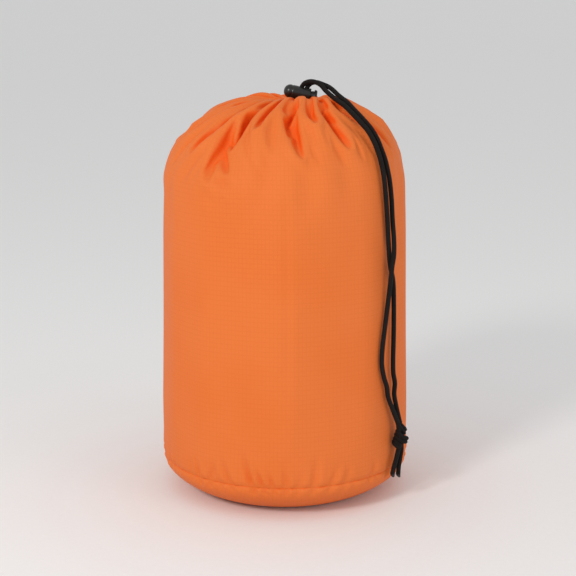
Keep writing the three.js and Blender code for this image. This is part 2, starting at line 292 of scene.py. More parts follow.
STRAND_A = MM * np.array([
    (14.6, -9.5, 309.7), (17.3, -11.1, 310.9), (20.5, -12.2, 311.1), (23.6, -13, 310.3),
    (26.6, -14.4, 308.5), (30.2, -17.6, 304.6), (37.5, -27.5, 299),
    (42.8, -36, 295.8), (47.2, -42.7, 291.8), (53.2, -48.5, 285.8), (59.2, -51.4, 279.1),
    (63.2, -53.6, 272.3), (66.1, -55.2, 265.3), (68.3, -57, 258.4), (69.8, -58.9, 251.6),
    (71, -60.4, 244), (73.7, -57.6, 216), (74.7, -56.5, 201), (76.4, -54.4, 182),
    (78.9, -51.4, 170), (79.8, -51.1, 150), (80, -51.4, 125), (79.8, -52.7, 110),
    (80.2, -52.4, 100), (81.6, -50.4, 92), (81.1, -52.1, 84), (82.7, -50.7, 75),
    (84.5, -49.8, 67), (85.9, -50.1, 61),
])
STRAND_B = MM * np.array([
    (17.7, -7.1, 308.2), (19.4, -6.6, 309.5), (21.7, -6.5, 310.1), (24.4, -7.6, 310),
    (27.6, -9.8, 309), (32.8, -13.2, 306.9), (40, -24, 301.2),
    (45.5, -31.5, 297.4), (49, -36.3, 293.8), (55.8, -42.6, 287), (61.9, -46.2, 280),
    (66.2, -49, 273), (69.2, -50.1, 265.7), (71.8, -52.1, 258.6), (73.5, -54.3, 251.6),
    (75, -55.3, 244), (76.7, -53.6, 230), (77.7, -53.3, 215), (78.8, -55.6, 200),
    (78.7, -58, 190), (77.6, -58.7, 182), (76.9, -58.6, 174), (76, -57.8, 164),
    (74.5, -58.2, 150), (72.6, -61, 135), (71, -63.3, 120), (70.8, -64, 110),
    (72.6, -62.4, 100), (74.9, -60, 92), (76.1, -58.9, 84), (79.2, -55.9, 75),
    (82.2, -53.9, 67), (84.4, -53.7, 61),
])
TAIL_A = MM * np.array([
    (87.2, -51, 45), (87.4, -50, 40.2), (86.6, -50.1, 34), (85.6, -50.3, 27), (85.2, -50.2, 19),
])
TAIL_B = MM * np.array([
    (85.8, -52.5, 45), (84.6, -53.6, 40.2), (83.4, -54.6, 35), (81.4, -56.6, 28), (80.2, -57.8, 22),
])
CORD_STEP = 0.0011  # spacing along the strands
FINE_STEP = 0.0007  # spacing along the tails and in the knot
UP = MM * np.array([0, 0, 1])
SEALED_LENGTH = 0.0016  # melted stretch at the end of each tail


def cord_piece(name, route):
    line = spline(route, CORD_STEP)
    piece = new_piece(name, *tube_parts(line, CORD_R))
    return piece, line


def tail_piece(name, route, slant):
    """A cord end cut across at a slant and melted, with a slightly swollen sealed tip."""
    line = spline(route, FINE_STEP)
    left = distances(line)[-1] * (1 - np.arange(len(line)) / (len(line) - 1))
    swell = 1 + 0.07 * bell(left - 0.0012, 0.0008) - 0.16 * smooth(1 - left / 0.0006)
    points, faces, uvs = tube_parts(line, CORD_R * swell, slant=slant)
    middle_z = [np.mean([points[i][2] for i in face]) for face in faces]
    sealed = [int(z < line[-1][2] + SEALED_LENGTH) for z in middle_z]
    return new_piece(name, points, faces, uvs, sealed)


KNOT_CENTRE = MM * np.array([86.7, -51.7, 50.3])
KNOT_CORD_R = 0.00165  # the cord is squeezed in the tightened knot
KNOT_WRAP_R = 0.0043
KNOT_CORE = MM * np.array([0.9, 1.3, 0])  # the strands pass the knot's middle on either side
KNOT_TOPS = (0.0056, 0.0028)  # where each cord starts to go round, above the middle
KNOT_START = math.radians(60)
KNOT_TURNS = 1.55
KNOT_PITCH = 0.0062
KNOT_TILT = math.radians(17)


def knot_line(top, tail, first_z):
    """One cord through the knot: in at the top, round the outside, and out to its tail."""
    route = [top + 1.2 * UP, top - 0.6 * UP]
    turn = Matrix.Rotation(KNOT_TILT, 3, "Y")
    steps = 20
    for i in range(steps + 1):
        share = i / steps
        a = KNOT_START + TURN * KNOT_TURNS * share
        r = KNOT_WRAP_R * (0.78 + 0.22 * math.sin(math.pi * share))
        z = first_z - KNOT_PITCH * KNOT_TURNS * share
        route.append(KNOT_CENTRE + np.array(turn @ Vector((r * math.cos(a), r * math.sin(a), z))))
    route += [tail[0] - 1.5 * UP, tail[1]]
    return spline(route, FINE_STEP)


def make_cords():
    strand_a, line_a = cord_piece("strand_front", STRAND_A)
    strand_b, line_b = cord_piece("strand_back", STRAND_B)
    knot_a = knot_line(STRAND_A[-1], TAIL_A, KNOT_TOPS[0])
    knot_b = knot_line(STRAND_B[-1], TAIL_B, KNOT_TOPS[1])
    parts = []
    for line in (knot_a, knot_b):
        share = np.linspace(0, 1, len(line))
        squeeze = smooth(share / 0.14) * smooth((1 - share) / 0.12)
        radius = CORD_R + (KNOT_CORD_R - CORD_R) * squeeze - 0.00002
        parts.append(tube_parts(line, radius))
    for route, tail, way in ((STRAND_A, TAIL_A, 1), (STRAND_B, TAIL_B, -1)):
        middle = KNOT_CENTRE + way * KNOT_CORE
        core = spline([route[-1] - 1.5 * UP, middle, tail[0]], FINE_STEP)
        parts.append(tube_parts(core, KNOT_CORD_R))
    knot = new_piece("overhand_knot", *join_parts(parts))
    tail_a = tail_piece("tail_front", TAIL_A, 0.55)
    tail_b = tail_piece("tail_back", TAIL_B, -0.6)
    for piece, node in (
        (strand_a, "drawcord_strand_a"), (strand_b, "drawcord_strand_b"),
        (knot, "drawcord_knot"), (tail_a, "drawcord_tail_a"), (tail_b, "drawcord_tail_b"),
    ):
        stand_for(piece, node, "cord")
    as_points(line_a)
    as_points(line_b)
    lines = [line_a, line_b, knot_a, knot_b, spline(TAIL_A, CORD_STEP), spline(TAIL_B, CORD_STEP)]
    return [strand_a, strand_b, knot, tail_a, tail_b], lines


cords, cord_lines = make_cords()

# ---- the side panel's outlines

COLUMNS = 224  # cloth grid that is settled: round the sack, and up it
ROWS = 112
FINE_COLUMNS = 2 * COLUMNS  # cloth grid that is kept
FINE_ROWS = 2 * ROWS

cloth_u = np.arange(COLUMNS) / COLUMNS * 360 - 180  # azimuth of each column
cloth_v = CLOTH_LENGTH * np.arange(ROWS + 1) / ROWS  # distance up from the seam
fine_u = np.arange(FINE_COLUMNS) / FINE_COLUMNS * 360 - 180
fine_v = CLOTH_LENGTH * np.arange(FINE_ROWS + 1) / FINE_ROWS
LEAN_START = 0.060  # inside this radius the gathers lean over to the mouth
LEAN_SPAN = 0.034
BALLOON_DROP = 0.3 - MOUTH.z  # how far the balloon's top is drawn down to the mouth
DROP_START = 0.032
DROP_SPAN = 0.02
ROUNDED_SPAN = 0.04  # stretch that is rounded where the side meets the shoulder


def balloon_outline():
    """Radius and height at each row of a flat bag stuffed tight: straight side, round top."""
    t = np.linspace(0, math.pi / 2, 801)
    r = np.sqrt(np.cos(t).clip(0))
    z = np.concatenate([[0], np.cumsum((r[1:] + r[:-1]) / 4 * np.diff(t))])
    s = np.concatenate([[0], np.cumsum(np.hypot(np.diff(r), np.diff(z)))])
    past = np.maximum(cloth_v - SIDE_LENGTH, 0) / CLOTH_R
    radius = np.where(cloth_v < SIDE_LENGTH, CLOTH_R, np.interp(past, s, r) * CLOTH_R)
    radius = np.maximum(radius, NECK_R)
    height = np.minimum(cloth_v, SIDE_LENGTH) + SEAM_Z + np.interp(past, s, z) * CLOTH_R
    drop = BALLOON_DROP * smooth((DROP_START - radius) / DROP_SPAN)
    return radius, height - np.where(cloth_v < SIDE_LENGTH, 0, drop)


SEAM_PINCH = 0.0018  # the seam is drawn in by its tape
PINCH_REACH = 0.0022


def pinch(away):
    """How far the cloth is drawn in at a distance from the seam."""
    return SEAM_PINCH * np.exp(-np.abs(away) / PINCH_REACH)


def side_radius(z):
    t = (z - SEAM_Z) / (SHOULDER_Z - SEAM_Z)
    plain = SEAM_R * (1 - t) * (1 - 2 * t) + MIDDLE_R * 4 * t * (1 - t)
    return plain + SHOULDER_R * t * (2 * t - 1) - pinch(z - SEAM_Z)


def shoulder_height(r):
    inward = np.maximum(0, 1 - (r / SHOULDER_R) ** SHOULDER_POWER_R)
    return SHOULDER_Z + (TOP_Z - SHOULDER_Z) * inward ** (1 / SHOULDER_POWER_Z)


def sack_outline():
    """Radius and height at each row of the sack as it stands, the CAD shell's outline."""
    z = SEAM_Z + SIDE_LENGTH * np.linspace(0, 1, 120) ** 1.5
    side = np.stack([side_radius(z), z], 1)
    r = SHOULDER_R - (SHOULDER_R - CREST_R) * np.linspace(0, 1, 400) ** 2
    top = np.stack([r, shoulder_height(r)], 1)
    crest = top[-1]
    drop = crest[1] - MOUTH.z
    a = np.linspace(0, math.pi / 2, 40)
    dip = np.stack([
        crest[0] - (crest[0] - NECK_R) * np.sin(a),
        crest[1] - drop * (1 - np.cos(a)) ** 1.3,
    ], 1)
    top = np.vstack([top, dip[1:]])

    side_share = np.clip(cloth_v / SIDE_LENGTH, 0, 1)
    top_share = np.clip((cloth_v - SIDE_LENGTH) / (CLOTH_LENGTH - SIDE_LENGTH), 0, 1)
    found = np.where(
        cloth_v[:, None] < SIDE_LENGTH,
        points_at(side, side_share * distances(side)[-1]),
        points_at(top, top_share * distances(top)[-1]),
    )
    rounded = np.stack([np.convolve(line, np.ones(7) / 7, mode="same") for line in found.T], 1)
    share = smooth(1 - np.abs(cloth_v - SIDE_LENGTH) / ROUNDED_SPAN)[:, None]
    found += share * (rounded - found)
    return found[:, 0], found[:, 1]


def lathe(radius, height, lean=1.0):
    """Grid of points on an outline, drawn over towards the mouth at the top."""
    a = np.radians(cloth_u)[None]
    share = lean * smooth((LEAN_START - radius) / LEAN_SPAN)
    x = radius[:, None] * np.sin(a) + (MOUTH.x * share)[:, None]
    y = -radius[:, None] * np.cos(a) + (MOUTH.y * share)[:, None]
    return np.stack([x, y, np.broadcast_to(height[:, None], x.shape)], 2)


def finer(grid):
    """A grid closed round the sack with a point added midway between each two, on a curve."""
    middle = (9 * (grid + np.roll(grid, -1, 1)) - np.roll(grid, 1, 1) - np.roll(grid, -2, 1)) / 16
    wide = np.stack([grid, middle], 2).reshape(len(grid), -1, 3)
    padded = np.concatenate([2 * wide[:1] - wide[1:2], wide, 2 * wide[-1:] - wide[-2:-1]])
    between = (9 * (padded[1:-2] + padded[2:-1]) - padded[:-3] - padded[3:]) / 16
    found = np.empty((2 * len(wide) - 1, *wide.shape[1:]))
    found[0::2] = wide
    found[1::2] = between
    return found


def grid_frames(grid):
    """Round, up and outward unit directions at each point of a grid closed round the sack."""
    round_way = np.roll(grid, -1, 1) - np.roll(grid, 1, 1)
    up_way = np.gradient(grid, axis=0)
    outward = np.cross(round_way, up_way)
    outward /= np.linalg.norm(outward, axis=2, keepdims=True)
    round_way /= np.linalg.norm(round_way, axis=2, keepdims=True)
    return np.stack([round_way, np.cross(outward, round_way), outward], 2)


# ---- gathering the side panel

# Folds that run out from the mouth: azimuth at the mouth, azimuth at the tip, radius at the
# tip in mm, depth, and how narrow.
FOLDS = (
    (-26, -54, 82, 1.3, 2.2), (-16, -41, 94, 1.2, 2.4), (-9, -16, 68, 0.9, 2.0),
    (-3, 8, 80, 1.1, 2.6), (11, 24, 60, 0.9, 2.4), (24, 31, 79, 1.0, 2.4),
    (40, 52, 72, 0.9, 2.0), (56, 67, 84, 0.9, 2.0), (74, 80, 66, 0.9, 2.0),
    (92, 98, 84, 1.0, 2.0), (110, 112, 66, 0.9, 2.0), (128, 131, 88, 1.0, 2.2),
    (145, 148, 64, 0.9, 2.0), (162, 160, 90, 1.0, 2.2), (180, 180, 68, 0.9, 2.0),
    (197, 199, 86, 1.0, 2.2), (213, 213, 64, 0.9, 2.0), (229, 229, 88, 1.0, 2.2),
    (246, 244, 66, 0.9, 2.0), (264, 259, 80, 0.9, 2.0), (284, 274, 66, 0.9, 2.0),
    (310, 289, 76, 0.9, 2.0),
)
FOLD_LIMIT = 0.024  # deepest fold that the starting shape is given
FOLD_TURN = 1.3  # above 1, folds turn aside more towards their tips
FOLD_ROOT_R = 0.02  # radius at which a fold starts to turn aside
FOLD_FADE = (0.012, 0.03)  # a fold ends this far past its tip, and fades over this length
FOLD_SWELL = 0.12  # share of a fold's depth by which the cloth beside it stands out


def row_length(row):
    return np.linalg.norm(np.roll(row, -1, 0) - row, axis=1).sum()


def evenly(row):
    """A closed row's points moved along it to equal distances, the first one staying."""
    closed = np.vstack([row, row[:1]])
    return points_at(closed, np.linspace(0, distances(closed)[-1], len(closed))[:-1])


def gathered_start(radius, base):
    """The balloon's grid with each row's spare width laid into the listed folds."""
    root, tip, reach, depth, narrow = np.array(FOLDS).T
    reach = reach * MM
    frames = grid_frames(base)
    grid = base.copy()
    for j in range(ROWS + 1):
        if cloth_v[j] < SIDE_LENGTH:
            continue
        r = radius[j]
        out = np.clip((r - FOLD_ROOT_R) / (reach - FOLD_ROOT_R), 0, 1)
        at = root + (tip - root) * out ** FOLD_TURN
        order = np.argsort(at)
        at = at[order]
        knots = np.append(at, at[0] + 360)
        phase = np.interp((cloth_u - at[0]) % 360 + at[0], knots, np.arange(len(knots)))
        before = np.floor(phase).astype(int) % len(at)
        part = phase - np.floor(phase)
        strength = (depth * smooth((reach + FOLD_FADE[0] - r) / FOLD_FADE[1]))[order]
        nearest = np.where(part < 0.5, before, (before + 1) % len(at))
        wave = 0.5 + 0.5 * np.cos(TURN * part)
        valley = strength[nearest] * wave ** narrow[order][nearest]
        fold = frames[j, :, 2] * (FOLD_SWELL - valley)[:, None]
        low, high = 0.0, FOLD_LIMIT
        for _ in range(12):
            size = (low + high) / 2
            if row_length(base[j] + fold * size) < CLOTH_WIDTH:
                low = size
            else:
                high = size
        grid[j] = evenly(base[j] + fold * low)
    return grid


def links(row_step, column_step, rest, stretch, squeeze):
    """Pairs of points that many rows and columns apart, in two sets with each point at most
    once in a set, with their length at rest and how firmly they take stretch and squeeze."""
    j, i = np.mgrid[0:ROWS + 1 - row_step, 0:COLUMNS]
    turn = (j // row_step if row_step else i // column_step) % 2
    a = j * COLUMNS + i
    b = (j + row_step) * COLUMNS + (i + column_step) % COLUMNS
    return [(a[turn == k], b[turn == k], rest, stretch, squeeze) for k in (0, 1)]


CLOTH_STEPS = 300
PRESSURE_STEP = 6e-7  # outward push of the contents in each step
KEPT_SPEED = 0.97
START_HOLD = 0.0004  # share of the way back to the start taken in each step
FOLD_GAP = 0.0003  # least distance between neighbours round the mouth


def settle(grid):
    """Lets the cloth grid settle under the push of what fills it, with both edges held."""
    du, dv = CLOTH_WIDTH / COLUMNS, CLOTH_LENGTH / ROWS
    free = np.ones((ROWS + 1, COLUMNS, 1))
    free[0] = free[-1] = 0
    free = free.reshape(-1, 1)
    held = (
        links(0, 1, du, 1.0, 0.6) + links(1, 0, dv, 1.0, 0.6)
        + links(1, 1, math.hypot(du, dv), 0.25, 0.12)
        + links(1, COLUMNS - 1, math.hypot(du, dv), 0.25, 0.12)
        + links(0, 2, 2 * du, 0.02, 0.02) + links(2, 0, 2 * dv, 0.02, 0.02)
    )
    half = ROWS // 2 * COLUMNS
    neighbours = [(a[a >= half], b[a >= half]) for a, b, *_ in links(0, 1, du, 1, 1)]
    start = grid.reshape(-1, 3)
    now = start.copy()
    before = now.copy()
    for _ in range(CLOTH_STEPS):
        shape = now.reshape(ROWS + 1, COLUMNS, 3)
        across = np.roll(shape, -1, 1) - np.roll(shape, 1, 1)
        push = np.cross(across, np.gradient(shape, axis=0) * 2)
        push = push.reshape(-1, 3) * PRESSURE_STEP / (4 * du * dv)
        speed = (now - before) * KEPT_SPEED
        before = now.copy()
        now += (speed + push + (start - now) * START_HOLD) * free
        for a, b, rest, stretch, squeeze in held:
            pa, pb = now[a], now[b]
            gap = pb - pa
            long = np.sqrt(np.einsum("ij,ij->i", gap, gap))[:, None] + 1e-12
            share = (long - rest) / long
            share *= np.where(share > 0, stretch, squeeze)
            wa, wb = free[a], free[b]
            gap *= share / np.maximum(wa + wb, 1)
            now[a] = pa + gap * wa
            now[b] = pb - gap * wb
        for a, b in neighbours:
            pa, pb = now[a, :2], now[b, :2]
            ra, rb = np.hypot(*pa.T), np.hypot(*pb.T)
            apart = pa[:, 0] * pb[:, 1] - pa[:, 1] * pb[:, 0]
            apart /= np.maximum(np.minimum(ra, rb), 1e-6)
            move = np.maximum(FOLD_GAP - apart, 0)[:, None] / 2
            way = np.stack([-pa[:, 1], pa[:, 0]], 1) / np.maximum(ra, 1e-6)[:, None]
            now[a, :2] -= way * move * free[a]
            now[b, :2] += way * move * free[b]
    return now.reshape(ROWS + 1, COLUMNS, 3)


RIDGE_SHARE = 86  # share of each row that lies inside the outline, in percent

# Azimuths where one soft flat of the stuffed side turns into the next.
FACET_CORNERS = (-39, 1, 41, 78, 113, 152, 188, 226, 271, 298)
FACET_STRENGTH = 0.55
LIP_AZIMUTH = 14  # the gathers stand fuller at the front of the mouth
LIP_SPREAD = 44
LIP_SHARE = 0.85
LIP_RISE = 0.0052
LIP_START = 0.058  # radius inside which the front gathers are evened out
LIP_SPAN = 0.022
TUFT_AZIMUTH = -146  # a gather that stands up behind the mouth
TUFT_SPREAD = 9
TUFT_RISE = 0.003
RISE_R = 0.041  # ring on which the lip and the tuft stand highest
RISE_REACH = 0.012
RIDGE_FADE = 0.015
# Soft lines down the side: azimuth at the top and at the bottom, distance of both up the cloth
# in mm, half width in degrees, depth in mm. A negative depth stands outward.
CREASES = (
    (1, 1, 262, 30, 2.2, 0.8), (-18, -35, 296, 196, 6.0, 3.0), (2, -13, 292, 190, 5.5, 2.8),
    (14, 10, 290, 186, 6.5, 3.0), (32, 30, 280, 195, 6.0, 2.2), (-55, -57, 285, 200, 6.5, 2.0),
    (-70, -66, 250, 160, 4.0, 0.9), (72, 68, 262, 180, 4.0, 1.0), (100, 103, 255, 150, 4.0, 1.2),
    (140, 136, 262, 170, 4.5, 1.3), (172, 168, 250, 160, 4.0, 1.0), (205, 208, 262, 150, 4.5, 1.3),
    (240, 238, 262, 180, 4.5, 1.2), (-92, -92, 300, 236, 20, 3.4), (-88, -88, 252, 200, 18, -1.3),
    (92, 92, 295, 222, 22, -2.0),
)
CREASE_FADE = 0.35  # share of a crease's length over which each end fades


def facets():
    """Outward offset of the side where its contents lie flat between soft corners."""
    corners = np.array([*FACET_CORNERS, FACET_CORNERS[0] + 360], float)
    azimuth = (fine_u - corners[0]) % 360 + corners[0]
    k = np.searchsorted(corners, azimuth, side="right") - 1
    half = np.radians(corners[k + 1] - corners[k]) / 2
    middle = np.radians(corners[k + 1] + corners[k]) / 2
    flat = np.cos(half) / np.cos(np.radians(azimuth) - middle) - 1
    flat = np.convolve(np.pad(flat - flat.mean(), 5, mode="wrap"), np.ones(11) / 11, mode="valid")
    share = smooth(fine_v / 0.05) * smooth((SIDE_LENGTH + 0.02 - fine_v) / 0.07)
    return share[:, None] * FACET_STRENGTH * CLOTH_R * flat[None]


def creases():
    """Outward offset of the soft lines that run on down the side from the gathers."""
    found = 0.0
    for top_at, low_at, top, low, width, depth in CREASES:
        share = (fine_v[:, None] / MM - low) / (top - low)
        at = low_at + (top_at - low_at) * share
        away = half_turn(fine_u[None] - at)
        fade = smooth(share / CREASE_FADE) * smooth((1 - share) / CREASE_FADE)
        found = found - depth * MM * fade * bell(away, width)
    return found


PUCKER_COUNT = 57
FRONT_PUCKERS = (  # azimuth at the seam, height, width, slant, depth
    (-31, 0.018, 1.6, -240, 0.0014), (-25, 0.026, 1.5, -260, 0.0019),
    (-14.5, 0.033, 1.5, -200, 0.0030), (-9.5, 0.022, 1.2, -260, 0.0024),
    (-5, 0.018, 1.2, -220, 0.0022), (0.5, 0.024, 1.3, -20, 0.0020), (6, 0.016, 1.4, 120, 0.0012),
    (13, 0.030, 1.7, 60, 0.0020), (21, 0.020, 1.6, 200, 0.0017), (28, 0.015, 1.5, 120, 0.0012),
)


def pucker_list():
    """Puckers all round the seam: those at the front are placed, the rest are drawn at random."""
    draw = np.random.default_rng(11)
    found = list(FRONT_PUCKERS)
    for azimuth in np.linspace(34, 323, PUCKER_COUNT - len(FRONT_PUCKERS)):
        found.append((
            azimuth + draw.uniform(-2.5, 2.5), draw.uniform(0.010, 0.028),
            draw.uniform(1.2, 1.8), draw.uniform(-260, 260), draw.uniform(0.0008, 0.0024),
        ))
    return found


def puckers(height):
    """Outward offset of small slanted tucks beside the seam, at a height along the cloth."""
    found = 0.0
    for azimuth, tall, width, slant, depth in pucker_list():
        away = half_turn(fine_u[None] - azimuth - slant * height)
        fade = smooth(1 - np.abs(height) / tall) * smooth(np.abs(height) / 0.008 + 0.3)
        found = found - depth * fade * bell(away, width)
        found = found + 0.45 * depth * fade * bell(away - 1.9 * width, width)
    return found


CORD_ROOM = 0.0027  # the cloth keeps this far from a cord's centreline
CORD_REACH = 0.012  # a cord further off than this doesn't press on the cloth
DENT_PASSES = 24


def clear_of_cords(grid, outward):
    """Presses the cloth in where a cord lies on it, with a soft dent round the cord."""
    lines = np.vstack([spaced(line, 0.0015) for line in cord_lines])
    need = np.zeros(grid.shape[:2])
    for j in range(grid.shape[0]):
        gap = lines[None] - grid[j][:, None]
        above = np.einsum("ikc,ic->ik", gap, outward[j])
        beside = np.einsum("ikc,ikc->ik", gap, gap) - above ** 2
        close = (beside < CORD_ROOM ** 2) & (np.abs(above) < CORD_REACH)
        move = np.where(close, above - np.sqrt(np.maximum(CORD_ROOM ** 2 - beside, 0)), 0)
        need[j] = np.minimum(0, move.min(1))
    dent = need.copy()
    for _ in range(DENT_PASSES):
        spread = (np.roll(dent, 1, 1) + np.roll(dent, -1, 1) + dent) / 3
        padded = np.pad(spread, ((1, 1), (0, 0)), mode="edge")
        dent = np.minimum(need, (padded[:-2] + padded[1:-1] + padded[2:]) / 3)
    return grid + outward * dent[:, :, None]


def panel_grid():
    """The settled cloth, moved from the plain balloon's outline to the sack's own."""
    balloon_r, balloon_z = balloon_outline()
    balloon = lathe(balloon_r, balloon_z, lean=0)
    settled = settle(gathered_start(balloon_r, balloon))
    offset = np.einsum("jikc,jic->jik", grid_frames(balloon), settled - balloon)
    ridge = np.percentile(offset[:, :, 2], RIDGE_SHARE, axis=1)
    ridge = np.convolve(np.pad(ridge, 2, mode="edge"), np.ones(5) / 5, mode="valid")
    ridge *= smooth((CLOTH_LENGTH - cloth_v) / RIDGE_FADE)
    offset[:, :, 2] -= ridge[:, None]
    front = bell(cloth_u - LIP_AZIMUTH, LIP_SPREAD)
    crest = smooth((LIP_START - balloon_r) / LIP_SPAN)
    offset[:, :, 2] *= 1 - LIP_SHARE * crest[:, None] * front[None]
    tuft = bell(half_turn(cloth_u - TUFT_AZIMUTH), TUFT_SPREAD)
    near = bell(balloon_r - RISE_R, RISE_REACH)[:, None]
    offset[:, :, 2] += near * (LIP_RISE * front + TUFT_RISE * tuft)[None]
    sack = lathe(*sack_outline())
    grid = finer(sack + np.einsum("jikc,jik->jic", grid_frames(sack), offset))
    outward = grid_frames(finer(sack))[:, :, 2]
    detail = facets() + creases() + puckers(fine_v[:, None])
    return clear_of_cords(grid + outward * detail[:, :, None], outward)


def make_side():
    grid = panel_grid()
    faces, uvs = ring_faces(
        FINE_ROWS + 1, FINE_COLUMNS,
        lambda row, column: (column / FINE_COLUMNS * CLOTH_WIDTH, fine_v[row]),
    )
    piece = new_piece("side_cloth", grid.reshape(-1, 3), faces, uvs)
    stand_for(piece, "side_panel", "shell_fabric")
    return piece, grid


side_cloth, side_grid = make_side()

# ---- the bottom panel


BOTTOM_CORNER = 0.007  # how far the flat runs on into the curve up to the seam
SEAM_TUCK_REACH = 0.009  # how far below the seam its tucks, shape and pinch reach
SEAM_SHAPE_REACH = 0.012
SEAM_PINCH_REACH = 0.02


def bottom_outline(steps):
    """Radius and height from the middle out to the seam."""
    flat = np.stack([np.linspace(0, BOTTOM_FLAT_R, steps // 2), np.zeros(steps // 2)], 1)
    t = 1 - (1 - np.linspace(0, 1, steps)[1:, None]) ** 1.4
    a, b, c, d = np.array([
        (BOTTOM_FLAT_R, 0), (BOTTOM_FLAT_R + BOTTOM_CORNER, 0), (SEAM_R, SEAM_Z / 2),
        (SEAM_R, SEAM_Z),
    ])
    wall = a * (1 - t) ** 3 + 3 * b * t * (1 - t) ** 2 + 3 * c * t * t * (1 - t) + d * t ** 3
    return np.vstack([flat, wall])


def make_bottom():
    outline = bottom_outline(44)
    seam = side_grid[0]
    along = distances(outline)
    scale = BOTTOM_CUT_R / along[-1]
    a = np.radians(fine_u)
    unit = np.stack([np.sin(a), -np.cos(a)], 1)
    points = [(0.0, 0.0, 0.0)]
    flat = [(0.0, 0.0)]
    for s, (r, z) in zip(along[1:], outline[1:]):
        below = along[-1] - s
        drawn_in = pinch(below) * smooth(1 - below / SEAM_PINCH_REACH)
        tucks = puckers(np.array([[-below]]))[0] * smooth(1 - below / SEAM_TUCK_REACH)
        share = smooth(1 - below / SEAM_SHAPE_REACH)
        plain = np.column_stack([unit * (r - drawn_in + tucks)[:, None], np.full(FINE_COLUMNS, z)])
        rim = np.column_stack([unit * (SEAM_R - SEAM_PINCH), np.full(FINE_COLUMNS, SEAM_Z)])
        plain += share * (seam - rim)
        points += plain.tolist()
        flat += (unit * s * scale).tolist()
    faces, uvs = [], []
    for i in range(FINE_COLUMNS):
        k = (i + 1) % FINE_COLUMNS
        rows = [(0, 1 + k, 1 + i)]
        for j in range(len(outline) - 2):
            inner, outer = 1 + j * FINE_COLUMNS, 1 + (j + 1) * FINE_COLUMNS
            rows.append((inner + i, inner + k, outer + k, outer + i))
        for face in rows:
            faces.append(face)
            uvs += [flat[p] for p in face]
    piece = new_piece("bottom_cloth", points, faces, uvs)
    stand_for(piece, "bottom_panel", "shell_fabric")
    return piece


bottom_cloth = make_bottom()

# ---- seams on the sack


def on_side(azimuth, height, lift):
    """A point of the side panel at an azimuth and a height above the seam, moved outward."""
    j = np.clip(height / CLOTH_LENGTH * FINE_ROWS, 0, FINE_ROWS - 1.001)
    i = ((azimuth + 180) / 360 * FINE_COLUMNS) % FINE_COLUMNS
    j0, i0 = int(j), int(i)
    fj, fi = j - j0, i - i0
    i1 = (i0 + 1) % FINE_COLUMNS
    low = side_grid[j0, i0] * (1 - fi) + side_grid[j0, i1] * fi
    high = side_grid[j0 + 1, i0] * (1 - fi) + side_grid[j0 + 1, i1] * fi
    point = low * (1 - fj) + high * fj
    across = side_grid[j0, i1] - side_grid[j0, i0]
    outward = np.cross(across, high - low)
    return point + outward / np.linalg.norm(outward) * lift


def strip_parts(place, columns, rows, thickness):
    """A closed strip of cloth. place(a, b, lift) gives a point for a and b from 0 to 1."""
    outer, inner = [], []
    for j in range(rows + 1):
        for i in range(columns + 1):
            a, b = i / columns, j / rows
            edge = min(1.0, 5 * min(a, 1 - a)) ** 0.5
            outer.append(place(a, b, 0.0002 + thickness * edge))
            inner.append(place(a, b, 0.0001))
    width = columns + 1
    count = len(outer)
    faces = []
    for j in range(rows):
        for i in range(columns):
            a = j * width + i
            face = (a, a + 1, a + 1 + width, a + width)
            faces.append(face)
            faces.append(tuple(count + p for p in reversed(face)))
    rim = list(range(width))
    rim += [j * width + columns for j in range(1, rows + 1)]
    rim += [rows * width + i for i in range(columns - 1, -1, -1)]
    rim += [j * width for j in range(rows - 1, 0, -1)]
    for a, b in zip(rim, rim[1:] + rim[:1]):
        faces.append((b, a, count + a, count + b))
    return np.array(outer + inner), faces


STITCH_LENGTH = 0.003
STITCH_SHARE = 0.78  # share of its length that each stitch fills
THREAD_R = 0.0003


def stitch_parts(place, length):
    """Separate stitches in a row: short threads that dive into the cloth at each end.
    place(s, lift) gives a point s metres along the row."""
    parts = []
    count = round(length / STITCH_LENGTH)
    pitch = length / count
    for n in range(count):
        at = (n + 0.5) * pitch + np.linspace(-0.5, 0.5, 7) * pitch * STITCH_SHARE
        rise = np.sin(np.linspace(0, math.pi, 7)) ** 0.6
        line = np.array([place(s, THREAD_R * (1.3 * h - 0.55)) for s, h in zip(at, rise)])
        parts.append(tube_parts(line, THREAD_R * (0.55 + 0.45 * rise), sides=8))
    return join_parts(parts)


FELL_WIDTH = fell_high.x - fell_low.x
FELL_THICK = 0.0008
FELL_RUN_ON = 0.022  # the seam runs on under the gathers
FELL_SPAN = (fell_low.z - SEAM_Z, fell_high.z - SEAM_Z + FELL_RUN_ON)
FELL_ROW = 0.0035  # each row of stitches, from the seam's middle
BINDING_HALF = 0.0009  # half the thickness of the folded tape
BINDING_GAP = 0.0005
BINDING_SEGMENTS = 360
BINDING_SIDES = 14
BINDING_PITCH = 0.0012  # spacing of the section's points in the tape's UVs


def make_fell():
    degrees = math.degrees(FELL_WIDTH / CLOTH_R)
    span = FELL_SPAN[1] - FELL_SPAN[0]

    def place(a, b, lift):
        return on_side(180 + (0.5 - a) * -degrees, FELL_SPAN[0] + span * b, lift)

    points, faces = strip_parts(place, 10, 110, FELL_THICK)
    uvs = []
    for face in faces:
        uvs += [(points[p][0], points[p][2]) for p in face]
    strip = new_piece("felled_seam", points, faces, uvs)
    stand_for(strip, "side_seam_fell", "shell_fabric")
    pieces = [strip]
    for name, x in (("left", -FELL_ROW), ("right", FELL_ROW)):
        azimuth = 180 + math.degrees(-x / CLOTH_R)

        def row(s, lift, azimuth=azimuth):
            return on_side(azimuth, FELL_SPAN[0] + s, FELL_THICK + THREAD_R + lift)

        thread = new_piece(f"seam_stitches_{name}", *stitch_parts(row, span))
        stand_for(thread, f"side_seam_stitching_{name}", "thread")
        pieces.append(thread)
    return pieces


felled_seam, *fell_threads = make_fell()


